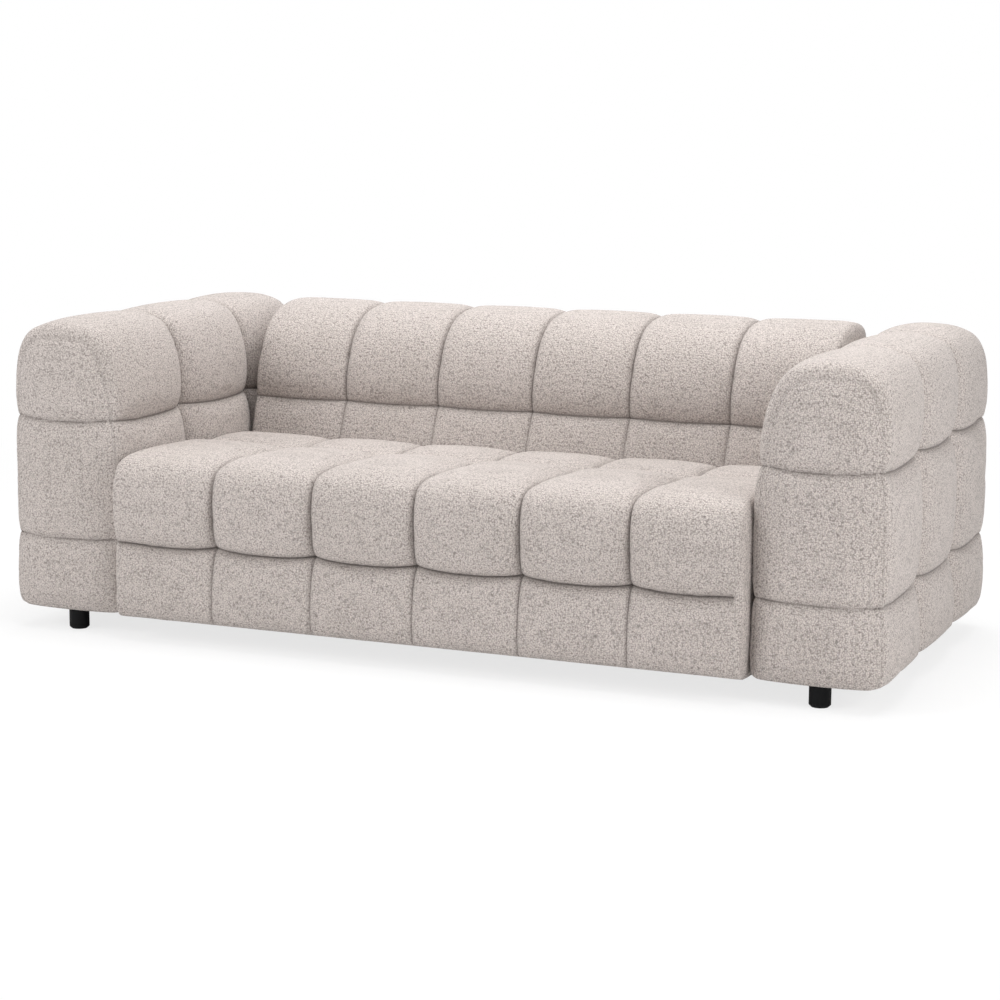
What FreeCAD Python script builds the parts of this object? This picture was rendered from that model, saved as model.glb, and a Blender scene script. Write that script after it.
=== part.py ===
import FreeCAD, Part
import math
import os

# Tuxedo sofa in millimetres. X runs across it, to the right as seen from the front, and Z up from the floor.
# Depths are written as distances behind the arms' front edge seam. At the end every piece is moved forward,
# so that the origin is on the floor under the middle of the sofa.

# Overall sizes
seat_span = 1598.0
block_gap = 4.0
arm_width = 315.0
arm_depth = 1000.0
arm_height = 777.0
back_height = 771.0
underside = 57.0

# Seams and tufts. A tuft is a crossing of two seams, and its depth is measured in from the fullest face
column_count = 6
lower_seam = 242.0
upper_seam = 538.0
first_arm_seam = 372.0
second_arm_seam = 725.0
tuft_depth = 38.0
seam_depth = 10.0
base_radius = 26.0
crest_rise = 6.0

# Arms. The end panels stand on a thin wall along their edge seam and rise to a crown
edge_draw = 32.0
edge_top_draw = 34.0
edge_softness = 42.0
edge_share = 0.6
fullest_share = 0.36
panel_wall = 4.0
panel_crown = 14.0
spare = 20.0
outer_roll = 106.0
outer_roll_width = 66.0
outer_roll_rise = 22.0
inner_roll_rise = 36.0
inner_roll_width = 120.0
inner_roll_height = 166.0
inner_fold_rise = 5.0
edge_roll_width = 82.0
edge_roll_height = 98.0

# Seat
seat_lead = 52.0
seat_height = 458.0
seat_drop = 28.0
seat_seam = 250.0
seat_cross_seam = 410.0
seat_tuft_depth = 38.0
seat_seam_depth = 15.0
seat_top_tuft_depth = 24.0
seat_top_seam_depth = 12.0
seat_roll = 74.0
seat_roll_height = 54.0
seat_roll_rise = 19.0

# Back
back_front = 638.0
back_seam = 527.0
back_set_back = 40.0
back_lean = 24.0
back_tuft_depth = 10.0
back_channel_depth = 30.0
back_crown = 8.0
back_roll_height = 112.0
back_roll_depth = 110.0
back_roll_rise = 24.0
back_fold = 400.0
rear_roll = 70.0
rear_roll_rise = 20.0

# Soft layers
fabric = 3.0
wadding = 10.0
felt = 7.0
dust_cloth = 1.0
cloth_lap = 20.0
cover_return = 60.0
end_return = 90.0

# Timber and boards
rail = 25.0
ply = 15.0
board = 4.0
rail_width = 60.0
batten = 30.0
frame_padding = 3.0
end_padding = 8.0
arm_frame_top = 690.0
inner_shoulder = 68.0
inner_shoulder_drop = 90.0
outer_shoulder = 43.0
outer_shoulder_drop = 50.0
arm_mid_rail = 490.0
seat_rail_top = 215.0
cross_rail_count = 3
cross_rail_height = 70.0
corner_block_leg = 70.0
corner_block_height = 60.0
back_padding = 51.0
back_frame_bend = 330.0
back_frame_slope = 98.0
back_frame_top = 690.0
back_rear_padding = 20.0
upright_count = 4

# Suspension
spring_count = 10
spring_wire = 3.8
spring_width = 50.0
spring_bends = 13
spring_lap = 19.0
clip_plate = 1.5
clip_length = 16.0
clip_width = 40.0
webbing = 2.0
webbing_width = 70.0
webbing_per_bay = 3
webbing_lap = 40.0

# Feet
foot_diameter = 50.0
foot_chamfer = 3.0
foot_hole_gap = 2.0
foot_from_middle = 961.0
foot_from_end = 40.0
middle_foot_depth = 300.0
foot_block_height = 40.0
foot_block_length = 90.0
glide_diameter = 40.0
glide_height = 5.0
glide_stand = 2.0
stud_diameter = 8.0
stud_in_foot = 28.0
stud_clearance = 0.1
nut_flange = 22.0
nut_plate = 2.0
nut_barrel = 11.0
nut_barrel_length = 12.0

# Connector bolts
bolt_diameter = 8.0
bolt_clearance = 0.5
bolt_head = 14.0
bolt_head_height = 5.0
bolt_height = 92.0
upper_bolt_height = 520.0
seat_bolt_depths = (150.0, 470.0)
back_bolt_depth = 860.0
back_bolt_from_middle = 395.0

# Places that follow
half_span = seat_span / 2
column = seat_span / column_count
arm_in = half_span + block_gap
arm_out = arm_in + arm_width
rear_full = arm_depth + panel_wall + panel_crown
seat_front = -seat_lead
seat_rear = back_front - block_gap
middle_depth = (seat_front + rear_full) / 2
base_rise = base_radius * (1 - math.sqrt(0.5))
soft = fabric + wadding
frame_base = underside + fabric
frame_side = half_span - soft
seat_rail_front = seat_front + seat_tuft_depth + base_radius + frame_padding
seat_rail_rear = seat_rear - soft
arm_frame_in = arm_in + tuft_depth + base_radius + frame_padding
arm_frame_out = arm_out - tuft_depth - base_radius - frame_padding
arm_frame_front = end_padding
arm_frame_rear = arm_depth - end_padding
back_frame_front = back_front + soft + back_padding
back_frame_rear = rear_full - tuft_depth - soft - back_rear_padding
back_frame_crest = back_frame_front + back_frame_slope
wire_level = seat_rail_top + clip_plate + spring_wire / 2
felt_base = wire_level + spring_wire / 2
deck = felt_base + felt
block_top = frame_base + foot_block_height


def vec(x, y, z):
    return FreeCAD.Vector(x, y, z)


def box(x0, x1, y0, y1, z0, z1):
    return Part.makeBox(x1 - x0, y1 - y0, z1 - z0, vec(x0, y0, z0))


def post(x, y, z0, z1, diameter):
    return Part.makeCylinder(diameter / 2, z1 - z0, vec(x, y, z0))


def prism_along_x(outline, x0, x1):
    points = [vec(x0, y, z) for y, z in outline]
    return Part.Face(Part.makePolygon(points + points[:1])).extrude(vec(x1 - x0, 0, 0))


def prism_along_y(outline, y0, y1):
    points = [vec(x, y0, z) for x, z in outline]
    return Part.Face(Part.makePolygon(points + points[:1])).extrude(vec(0, y1 - y0, 0))


def group(pieces):
    """Separate solids as one sub-part."""
    return Part.makeCompound(pieces)


def fused(pieces):
    return pieces[0].multiFuse(pieces[1:])


def both_sides(piece):
    return [piece, piece.mirror(vec(0, 0, 0), vec(1, 0, 0))]


def blend(first, second, share):
    return first + (second - first) * share


def moved_corners(corners, insets):
    """Corners of a closed anticlockwise outline after each side moves inward by its own inset."""
    moved = []
    for i, here in enumerate(corners):
        normals = []
        for a, b in ((corners[i - 1], here), (here, corners[(i + 1) % len(corners)])):
            length = math.dist(a, b)
            normals.append(((a[1] - b[1]) / length, (b[0] - a[0]) / length))
        (ax, ay), (bx, by) = normals
        first, second = insets[i - 1], insets[i]
        cosine = ax * bx + ay * by
        if first == second:
            p = q = first / (1 + cosine)
        else:
            p = (first - second * cosine) / (1 - cosine**2)
            q = (second - first * cosine) / (1 - cosine**2)
        moved.append((here[0] + ax * p + bx * q, here[1] + ay * p + by * q))
    return moved


def section(sides, inset, place):
    """Closed wire. Each side is its first corner and the rise of its arc, where 0 is a straight line.

    The last side is the base. It never moves in further than the cover's thickness, so that the layers
    inside the cover are open below."""
    corners = [corner for corner, rise in sides]
    moved = moved_corners(corners, [inset] * (len(sides) - 1) + [min(inset, fabric)])
    edges = []
    for i, (corner, rise) in enumerate(sides):
        a, b = moved[i], moved[(i + 1) % len(moved)]
        if rise == 0:
            edges.append(Part.makeLine(place(*a), place(*b)))
        else:
            share = rise / math.dist(corner, corners[(i + 1) % len(corners)])
            middle = ((a[0] + b[0]) / 2 + (b[1] - a[1]) * share, (a[1] + b[1]) / 2 - (b[0] - a[0]) * share)
            edges.append(Part.Arc(place(*a), place(*middle), place(*b)).toShape())
    return Part.Wire(edges)


def seat_sides(full):
    """Section of a seat column across the depth, at a seam between columns (0) or at its fullest (1)."""
    draw = blend(seat_tuft_depth, seat_seam_depth, full)
    rise = blend(seat_tuft_depth - seat_seam_depth, seat_seam_depth, full)
    top_draw = blend(seat_top_tuft_depth, seat_top_seam_depth, full)
    top_rise = blend(seat_top_tuft_depth - seat_top_seam_depth, seat_top_seam_depth, full)
    roll_draw = blend(seat_seam_depth, seam_depth / 2, full)
    slope = seat_drop / (seat_rear - seat_front)
    cross_height = seat_height - slope * (seat_cross_seam - seat_front) - top_draw
    roll_top = seat_height - roll_draw
    return [
        ((seat_rear, underside), 0),
        ((seat_rear, seat_height - seat_drop - top_draw), top_rise),
        ((seat_cross_seam, cross_height), top_rise),
        ((seat_front + roll_draw + seat_roll, roll_top), seat_roll_rise),
        ((seat_front + roll_draw, roll_top - seat_roll_height), rise - (draw - roll_draw) / 2),
        ((seat_front + draw, seat_seam), rise),
        ((seat_front + draw, underside + base_radius), base_rise),
        ((seat_front + draw + base_radius, underside), 0),
    ]


def back_sides(full):
    """Section of a back column across the depth. The front below the seat's top is flat and hidden."""
    face = back_front + back_set_back + blend(back_tuft_depth, 0, full)
    shoulder = face + back_lean + blend(back_channel_depth, 0, full)
    top = back_height - crest_rise - blend(seam_depth, 0, full)
    draw = blend(tuft_depth, seam_depth, full)
    rise = blend(tuft_depth - seam_depth, seam_depth, full)
    rear = rear_full - blend(seam_depth, 0, full)
    return [
        ((rear_full - draw - base_radius, underside), base_rise),
        ((rear_full - draw, underside + base_radius), rise),
        ((rear_full - draw, lower_seam), rise),
        ((rear_full - draw, upper_seam), rise - (rear - rear_full + draw) / 2),
        ((rear, top - rear_roll), rear_roll_rise),
        ((rear - rear_roll, top), crest_rise),
        ((shoulder + back_roll_depth, top), back_roll_rise),
        ((shoulder, back_height - back_roll_height), back_crown),
        ((face, back_seam), back_crown),
        ((back_front, back_fold), 0),
        ((back_front, underside), 0),
    ]


def column_block(sides, inset):
    """The six columns of the seat or the back, crowned between their seams, as one solid."""
    columns = []
    for i in range(column_count):
        left, right = i * column - half_span, (i + 1) * column - half_span
        left += inset if i == 0 else 0
        right -= inset if i == column_count - 1 else 0
        wires = []
        for x, full in ((left, 0), ((left + right) / 2, 1), (right, 0)):
            wires.append(section(sides(full), inset, lambda y, z, x=x: vec(x, y, z)))
        columns.append(Part.makeLoft(wires, True))
    return fused(columns)


# Shapes of an arm's section: how far the rows' seams draw in, the rise between them, how far the outer
# shoulder, the inner shoulder and the top draw in, and the width and height of the inner roll
seam_shape = (tuft_depth, tuft_depth - seam_depth, 2 * seam_depth, tuft_depth + seam_depth, seam_depth)
seam_shape += (inner_roll_width, inner_roll_height)
full_shape = (seam_depth, seam_depth, seam_depth / 2, seam_depth, 0, inner_roll_width, inner_roll_height)
edge_shape = (edge_draw, panel_wall, edge_draw, edge_draw + seam_depth, edge_top_draw)
edge_shape += (edge_roll_width, edge_roll_height)
soft_shape = tuple(blend(a, b, edge_share) for a, b in zip(edge_shape, full_shape))


def arm_sides(shape):
    """Section of the right arm across its width."""
    draw, rise, outer, inner, top, roll_width, roll_height = shape
    crest = arm_height - top - crest_rise
    return [
        ((arm_out - draw - base_radius, underside), base_rise),
        ((arm_out - draw, underside + base_radius), rise),
        ((arm_out - draw, lower_seam), rise),
        ((arm_out - draw, upper_seam), rise - (draw - outer) / 2),
        ((arm_out - outer, crest - outer_roll), outer_roll_rise),
        ((arm_out - outer - outer_roll_width, crest), crest_rise),
        ((arm_in + inner + roll_width, crest), inner_roll_rise),
        ((arm_in + inner, crest - roll_height), inner_fold_rise),
        ((arm_in + draw, upper_seam), rise),
        ((arm_in + draw, lower_seam), rise),
        ((arm_in + draw, underside + base_radius), base_rise),
        ((arm_in + draw + base_radius, underside), 0),
    ]


def scalloped(breaks, inset, place):
    """Face between two rows of arcs, one row at each end of an arm, with the arcs' ends at the breaks."""
    edges = []
    front, rear = inset - panel_wall, arm_depth + panel_wall - inset
    for depth, crown in ((front, -panel_crown), (rear, panel_crown)):
        for a, b in zip(breaks, breaks[1:]):
            ends = place(a, depth), place((a + b) / 2, depth + crown), place(b, depth)
            edges.append(Part.Arc(*ends).toShape())
    for edge in (breaks[0], breaks[-1]):
        edges.append(Part.makeLine(place(edge, front), place(edge, rear)))
    return Part.Face(Part.Wire(Part.__sortEdges__(edges)))


def arm_form(inset):
    """The right arm as one solid: three columns, closed by a crowned panel of three rows at each end."""
    first_full = first_arm_seam * fullest_share
    middle = (first_arm_seam + second_arm_seam) / 2
    last_full = blend(arm_depth, second_arm_seam, fullest_share)
    front_end = [(0, edge_shape), (edge_softness, soft_shape)]
    rear_end = [(arm_depth - edge_softness, soft_shape), (arm_depth, edge_shape)]
    columns = [
        front_end + [(first_full, full_shape), (first_arm_seam, seam_shape)],
        [(first_arm_seam, seam_shape), (middle, full_shape), (second_arm_seam, seam_shape)],
        [(second_arm_seam, seam_shape), (last_full, full_shape)] + rear_end,
    ]
    pieces = []
    for stations in columns:
        wires = []
        for y, shape in stations:
            wires.append(section(arm_sides(shape), inset, lambda x, z, y=y: vec(x, y, z)))
        pieces.append(Part.makeLoft(wires, True))
    reach = panel_wall + panel_crown
    for y, length in ((0, -reach), (arm_depth, reach)):
        end = section(arm_sides(edge_shape), inset, lambda x, z, y=y: vec(x, y, z))
        pieces.append(Part.Face(end).extrude(vec(0, length, 0)))
    low_x, high_x, high_z = arm_in - spare, arm_out + spare, arm_height + spare
    rows = scalloped((0, lower_seam, upper_seam, high_z), inset, lambda z, y: vec(low_x, y, z))
    width = scalloped((low_x, high_x), inset, lambda x, y: vec(x, y, 0))
    arm = fused(pieces).common(rows.extrude(vec(high_x - low_x, 0, 0)))
    return arm.common(width.extrude(vec(0, 0, high_z)))


def bolt_runs():
    """Start, direction and length of each connector bolt, from under its head to the nut's far face."""
    runs = []
    side_start = frame_side - rail
    side_length = arm_frame_in + board + batten - side_start
    places = [(depth, bolt_height) for depth in seat_bolt_depths]
    places += [(back_bolt_depth, height) for height in (bolt_height, upper_bolt_height)]
    for depth, height in places:
        for side in (1, -1):
            runs.append((vec(side * side_start, depth, height), vec(side, 0, 0), side_length))
    for side in (1, -1):
        start = vec(side * back_bolt_from_middle, seat_rail_rear - rail, bolt_height)
        runs.append((start, vec(0, 1, 0), back_frame_front + webbing + rail - start.y))
    return runs


def foot_places():
    """Name, x, depth and top of each foot. The middle foot stands against its block, past the dust cover."""
    near, far = foot_from_end, arm_depth - foot_from_end
    places = []
    for row, y in (("front", near), ("rear", far)):
        for side, x in (("left", -foot_from_middle), ("right", foot_from_middle)):
            places.append((f"foot_{row}_{side}", x, y, underside))
    places.append(("foot_middle", 0, middle_foot_depth, frame_base))
    return places


parts = {}


def seat_layers():
    outer, under, core = (column_block(seat_sides, inset) for inset in (0, fabric, soft))
    near, far = seat_front + seat_tuft_depth + cover_return, seat_rear - cover_return
    reach = half_span - cover_return
    parts["seat_cover"] = outer.cut([under, box(-reach, reach, near, far, 0, frame_base)])
    inside_frame = box(-frame_side, frame_side, seat_rail_front, seat_rail_rear, 0, deck)
    parts["seat_wadding"] = under.cut([core, inside_frame])
    above = box(-half_span, half_span, seat_front, seat_rear, deck, seat_height)
    ahead = box(-half_span, half_span, seat_front, seat_rail_front, 0, deck)
    parts["seat_deck_foam"] = core.common(above)
    parts["seat_front_foam"] = core.common(ahead)
    reach += cloth_lap
    low = underside - dust_cloth
    cloth = box(-reach, reach, near - cloth_lap, far + cloth_lap, low, underside)
    foot_hole = post(0, middle_foot_depth, 0, frame_base, foot_diameter + 2 * foot_hole_gap)
    parts["seat_dust_cover"] = cloth.cut(foot_hole)


def seat_frame():
    front, rear, side = seat_rail_front, seat_rail_rear, frame_side
    inner_front, inner_rear, inner_side = front + rail, rear - rail, side - rail
    parts["seat_front_rail"] = box(-side, side, front, inner_front, frame_base, seat_rail_top)
    parts["seat_rear_rail"] = box(-side, side, inner_rear, rear, frame_base, seat_rail_top)
    rails = both_sides(box(inner_side, side, inner_front, inner_rear, frame_base, seat_rail_top))
    parts["seat_side_rail_right"], parts["seat_side_rail_left"] = rails
    crosses = []
    for i in range(cross_rail_count):
        x = (i - (cross_rail_count - 1) / 2) * 2 * inner_side / (cross_rail_count + 1)
        crosses.append(
            box(x - rail / 2, x + rail / 2, inner_front, inner_rear, block_top, block_top + cross_rail_height)
        )
    parts["seat_cross_rails"] = group(crosses)
    blocks = []
    for y, turn in ((inner_front, 1), (inner_rear, -1)):
        corner = [
            vec(inner_side, y, seat_rail_top - corner_block_height),
            vec(inner_side, y + turn * corner_block_leg, seat_rail_top - corner_block_height),
            vec(inner_side - corner_block_leg, y, seat_rail_top - corner_block_height),
        ]
        block = Part.Face(Part.makePolygon(corner + corner[:1])).extrude(vec(0, 0, corner_block_height))
        blocks += both_sides(block)
    parts["seat_corner_blocks"] = group(blocks)


def sinuous_spring(x):
    """Zigzag wire from the front rail to the rear rail, with quarter bends of half the pitch."""
    start, end = seat_rail_front + rail - spring_lap, seat_rail_rear - rail + spring_lap
    pitch = (end - start) / spring_bends
    bend = pitch / 2
    straight = spring_width / 2 - bend
    turn = bend * math.sqrt(0.5)
    edges = []
    for i in range(spring_bends + 1):
        y = start + i * pitch
        side = 1 if i % 2 == 0 else -1
        near, far = vec(x - side * straight, y, wire_level), vec(x + side * straight, y, wire_level)
        edges.append(Part.makeLine(near, far))
        if i == spring_bends:
            break
        tip = vec(x + side * (straight + bend), y + bend, wire_level)
        onward = vec(x + side * straight, y + pitch, wire_level)
        first = vec(x + side * (straight + turn), y + bend - turn, wire_level)
        second = vec(x + side * (straight + turn), y + bend + turn, wire_level)
        edges.append(Part.Arc(far, first, tip).toShape())
        edges.append(Part.Arc(tip, second, onward).toShape())
    circle = Part.makeCircle(spring_wire / 2, edges[0].Vertexes[0].Point, vec(1, 0, 0))
    return Part.Wire(edges).makePipeShell([Part.Wire(circle)], True, False)


def seat_suspension():
    inner_side = frame_side - rail
    pitch = 2 * inner_side / spring_count
    springs, clips = [], []
    for i in range(spring_count):
        x = (i + 0.5) * pitch - inner_side
        springs.append(sinuous_spring(x))
        for y, turn in ((seat_rail_front + rail - spring_lap, 1), (seat_rail_rear - rail + spring_lap, -1)):
            gap = spring_wire
            wall = y - turn * (gap / 2 + clip_plate)
            outline = [
                (wall, seat_rail_top),
                (wall + turn * clip_length, seat_rail_top),
                (wall + turn * clip_length, seat_rail_top + clip_plate),
                (wall + turn * clip_plate, seat_rail_top + clip_plate),
                (wall + turn * clip_plate, seat_rail_top + clip_plate + gap),
                (wall + turn * (clip_plate + gap), seat_rail_top + clip_plate + gap),
                (wall + turn * (clip_plate + gap), seat_rail_top + 2 * clip_plate + gap),
                (wall, seat_rail_top + 2 * clip_plate + gap),
            ]
            clips.append(prism_along_x(outline, x - clip_width / 2, x + clip_width / 2))
    parts["seat_springs"] = group(springs)
    parts["seat_spring_clips"] = group(clips)
    inner_front, inner_rear = seat_rail_front + rail, seat_rail_rear - rail
    parts["seat_felt"] = box(-frame_side, frame_side, inner_front, inner_rear, felt_base, deck)


def back_outline():
    """Side view of the back's frame, which the foam lies round."""
    return [
        (back_frame_front, frame_base),
        (back_frame_rear, frame_base),
        (back_frame_rear, back_frame_top),
        (back_frame_crest, back_frame_top),
        (back_frame_front, back_frame_bend),
    ]


def back_layers():
    outer, under, core = (column_block(back_sides, inset) for inset in (0, fabric, soft))
    near, far = back_front + cover_return, rear_full - tuft_depth - cover_return
    reach = half_span - cover_return
    inside_frame = prism_along_x(back_outline(), -frame_side, frame_side)
    parts["back_cover"] = outer.cut([under, box(-reach, reach, near, far, 0, frame_base)])
    parts["back_wadding"] = under.cut([core, inside_frame])
    parts["back_foam"] = core.cut(inside_frame)
    reach += cloth_lap
    low = underside - dust_cloth
    parts["back_dust_cover"] = box(-reach, reach, near - cloth_lap, far + cloth_lap, low, underside)


def back_frame():
    front = back_frame_front + webbing
    crest = back_frame_crest + webbing
    inner_rear = back_frame_rear - board
    low = frame_base + rail_width
    high = back_frame_top - webbing
    span = (-frame_side, frame_side)
    rails = {
        "back_front_bottom_rail": box(*span, front, front + rail, frame_base, low),
        "back_lumbar_rail": box(*span, front, front + rail, back_frame_bend - rail_width, back_frame_bend),
        "back_front_top_rail": box(*span, crest, crest + rail, high - rail_width, high),
        "back_rear_rails": group(
            [
                box(*span, inner_rear - rail, inner_rear, frame_base, low),
                box(*span, inner_rear - rail, inner_rear, high - rail_width, high),
            ]
        ),
    }
    parts.update(rails)
    parts["back_rear_board"] = box(*span, inner_rear, back_frame_rear, frame_base, back_frame_top)
    outline = [(y + webbing if y < inner_rear else inner_rear, min(z, high)) for y, z in back_outline()]
    uprights = []
    bay = (2 * frame_side - rail) / (upright_count - 1)
    for i in range(upright_count):
        x = i * bay - frame_side
        uprights.append(prism_along_x(outline, x, x + rail).cut(list(rails.values())))
    parts["back_uprights"] = group(uprights)
    lap = crest + rail
    strap = [
        (back_frame_front, back_frame_bend - webbing_lap),
        (front, back_frame_bend - webbing_lap),
        (front, back_frame_bend),
        (crest, high),
        (lap, high),
        (lap, back_frame_top),
        (back_frame_crest, back_frame_top),
        (back_frame_front, back_frame_bend),
    ]
    straps = []
    clear_bay = bay - rail
    for i in range(upright_count - 1):
        for j in range(webbing_per_bay):
            x = i * bay + rail - frame_side + clear_bay * (j + 0.5) / webbing_per_bay
            straps.append(prism_along_x(strap, x - webbing_width / 2, x + webbing_width / 2))
    parts["back_webbing"] = group(straps)


def arm_outline():
    """Front view of the right arm's frame."""
    return [
        (arm_frame_in, frame_base),
        (arm_frame_out, frame_base),
        (arm_frame_out, arm_frame_top - outer_shoulder_drop),
        (arm_frame_out - outer_shoulder, arm_frame_top),
        (arm_frame_in + inner_shoulder, arm_frame_top),
        (arm_frame_in, arm_frame_top - inner_shoulder_drop),
    ]


def arm_pieces():
    """Every piece of the right arm, by name."""
    outer, under, core = (arm_form(inset) for inset in (0, fabric, soft))
    near, far = end_return, arm_depth - end_return
    low_x, high_x = arm_in + tuft_depth + cover_return, arm_out - tuft_depth - cover_return
    inside_frame = prism_along_y(arm_outline(), arm_frame_front, arm_frame_rear)
    skin = outer.cut([under, box(low_x, high_x, near, far, 0, frame_base)])
    across, upward = (arm_in - spare, arm_out + spare), (0, arm_height + spare)
    ahead = box(*across, -panel_wall - panel_crown, 0, *upward)
    behind = box(*across, arm_depth, rear_full, *upward)
    between = box(*across, 0, arm_depth, *upward)
    front, rear = arm_frame_front + ply, arm_frame_rear - ply
    boards_in, boards_out = arm_frame_in + board, arm_frame_out - board
    top_in, top_out = arm_frame_in + inner_shoulder, arm_frame_out - outer_shoulder
    high = arm_frame_top - board
    inner_top, outer_top = arm_frame_top - inner_shoulder_drop, arm_frame_top - outer_shoulder_drop
    cloth_width = low_x - cloth_lap, high_x + cloth_lap
    rails = [
        box(boards_in, boards_in + batten, front, rear, frame_base, frame_base + rail_width),
        box(boards_out - batten, boards_out, front, rear, frame_base, frame_base + rail_width),
        box(boards_in, boards_in + batten, front, rear, arm_mid_rail, arm_mid_rail + rail_width),
        box(top_in, top_in + batten, front, rear, high - rail_width, high),
        box(top_out - batten, top_out, front, rear, high - rail_width, high),
    ]
    return {
        "cover": skin.common(between),
        "front_panel": skin.common(ahead),
        "rear_panel": skin.common(behind),
        "wadding": under.cut([core, inside_frame]),
        "foam": core.cut(inside_frame),
        "front_board": prism_along_y(arm_outline(), arm_frame_front, front),
        "rear_board": prism_along_y(arm_outline(), rear, arm_frame_rear),
        "rails": group(rails),
        "inner_board": box(arm_frame_in, boards_in, front, rear, frame_base, inner_top),
        "outer_board": box(boards_out, arm_frame_out, front, rear, frame_base, outer_top),
        "top_board": box(top_in, top_out, front, rear, high, arm_frame_top),
        "dust_cover": box(*cloth_width, near - cloth_lap, far + cloth_lap, underside - dust_cloth, underside),
    }


def feet():
    """Feet, each with a glide under it and a stud that runs up into a T-nut in its block."""
    glides, studs, nuts, blocks = [], [], [], []
    for name, x, y, top in foot_places():
        foot = post(x, y, glide_stand, top, foot_diameter)
        foot = foot.makeChamfer(foot_chamfer, [e for e in foot.Edges if e.BoundBox.ZMax < glide_stand + 0.1])
        glide = post(x, y, 0, glide_height, glide_diameter)
        stud_base = top - stud_in_foot
        bore = post(x, y, stud_base, top, stud_diameter + 2 * stud_clearance)
        parts[name] = foot.cut([glide, bore])
        glides.append(glide)
        stud_top = block_top - nut_plate
        studs.append(post(x, y, stud_base, stud_top, stud_diameter))
        thread = post(x, y, 0, block_top, stud_diameter + 2 * stud_clearance)
        barrel = post(x, y, block_top - nut_barrel_length, block_top, nut_barrel)
        flange = post(x, y, block_top - nut_plate, block_top, nut_flange)
        nuts.append(barrel.fuse(flange).cut(thread))
        if abs(x) > half_span:
            side = math.copysign(1, x)
            edges = sorted([side * (arm_frame_in + board + batten), side * (arm_frame_out - board - batten)])
            ends = (arm_frame_front + ply, arm_frame_front + ply + foot_block_length)
            if y > arm_depth / 2:
                ends = (arm_frame_rear - ply - foot_block_length, arm_frame_rear - ply)
            block = box(*edges, *ends, frame_base, block_top)
        else:
            half = foot_block_length / 2
            block = box(x - half, x + half, y - half, y + half, frame_base, block_top)
        hole = post(x, y, frame_base, block_top, stud_diameter + 2 * bolt_clearance)
        blocks.append(block.cut([hole, barrel, flange]))
        for cover in ("arm_left_cover", "arm_right_cover"):
            parts[cover] = parts[cover].cut(hole.translated(vec(0, 0, -fabric)))
    parts["foot_glides"] = group(glides)
    parts["foot_studs"] = group(studs)
    parts["foot_nuts"] = group(nuts)
    parts["foot_blocks"] = group(blocks)


def connectors():
    """Bolts that hold the arms and the back to the seat, with their T-nuts and the holes for them."""
    bolts, nuts, holes = [], [], []
    for start, direction, length in bolt_runs():
        end = start + direction * length
        under_head = start - direction * bolt_head_height
        barrel_start = end - direction * nut_barrel_length
        head = Part.makeCylinder(bolt_head / 2, bolt_head_height, under_head, direction)
        shank = Part.makeCylinder(bolt_diameter / 2, length, start, direction)
        bolts.append(head.fuse(shank))
        barrel = Part.makeCylinder(nut_barrel / 2, nut_barrel_length, barrel_start, direction)
        flange = Part.makeCylinder(nut_flange / 2, nut_plate, end, direction)
        thread = Part.makeCylinder(bolt_diameter / 2 + stud_clearance, length + nut_plate, start, direction)
        nuts.append(barrel.fuse(flange).cut(thread))
        holes += [Part.makeCylinder(bolt_diameter / 2 + bolt_clearance, length, start, direction), barrel]
    passed = [
        "seat_cover", "seat_wadding", "seat_side_rail_left", "seat_side_rail_right", "seat_rear_rail",
        "back_cover", "back_wadding", "back_foam", "back_uprights", "back_front_bottom_rail",
    ]
    for side in ("left", "right"):
        passed += [f"arm_{side}_{piece}" for piece in ("cover", "wadding", "foam", "inner_board", "rails")]
    for name in passed:
        parts[name] = parts[name].cut(holes)
    parts["connector_bolts"] = group(bolts)
    parts["connector_nuts"] = group(nuts)


seat_layers()
seat_frame()
seat_suspension()
back_layers()
back_frame()
for piece_name, right_piece in arm_pieces().items():
    parts[f"arm_right_{piece_name}"], parts[f"arm_left_{piece_name}"] = both_sides(right_piece)
feet()
connectors()

os.makedirs("parts", exist_ok=True)
for name, shape in parts.items():
    shape.translated(vec(0, -middle_depth, 0)).exportStep(f"parts/{name}.step")
    print(f"{name}: {len(shape.Solids)} solids, {shape.Volume / 1e6:.3f} litres, valid {shape.isValid()}")
print(f"{len(parts)} sub-parts")
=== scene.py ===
import math

import bmesh
import bpy
import numpy as np
from mathutils import Matrix, Vector


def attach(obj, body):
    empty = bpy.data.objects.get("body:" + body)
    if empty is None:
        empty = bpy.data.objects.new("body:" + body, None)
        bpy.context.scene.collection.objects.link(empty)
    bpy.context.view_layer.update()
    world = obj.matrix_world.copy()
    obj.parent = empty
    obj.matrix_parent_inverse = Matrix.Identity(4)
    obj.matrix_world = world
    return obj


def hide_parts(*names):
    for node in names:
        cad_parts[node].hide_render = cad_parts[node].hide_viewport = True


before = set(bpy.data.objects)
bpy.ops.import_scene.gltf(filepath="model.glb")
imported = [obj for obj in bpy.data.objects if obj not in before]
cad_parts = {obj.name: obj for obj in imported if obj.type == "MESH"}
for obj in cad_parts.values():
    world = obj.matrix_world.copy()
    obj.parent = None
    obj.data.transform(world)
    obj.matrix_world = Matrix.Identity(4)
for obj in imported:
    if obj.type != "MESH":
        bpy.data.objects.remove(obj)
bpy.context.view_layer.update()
frontSeam = -0.483  # depth of the arms' front edge seam, from which every depth below is written
columnPitch = 1.598 / 6  # the seat and the back have six columns
columnSeams = tuple((i - 2) * columnPitch for i in range(5))
farAway = 9.0  # stands for the distance to a seam that isn't there
print("frame loaded:", len(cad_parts), "nodes")


def pillowDip(distance, reach, fullness=2.1):
    # 1 on a seam, falling to 0 on a quarter round of the given reach
    away = 1 - np.clip(np.abs(distance) / reach, 0, 1)
    return 1 - np.sqrt(np.clip(1 - away**fullness, 0, 1))


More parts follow.
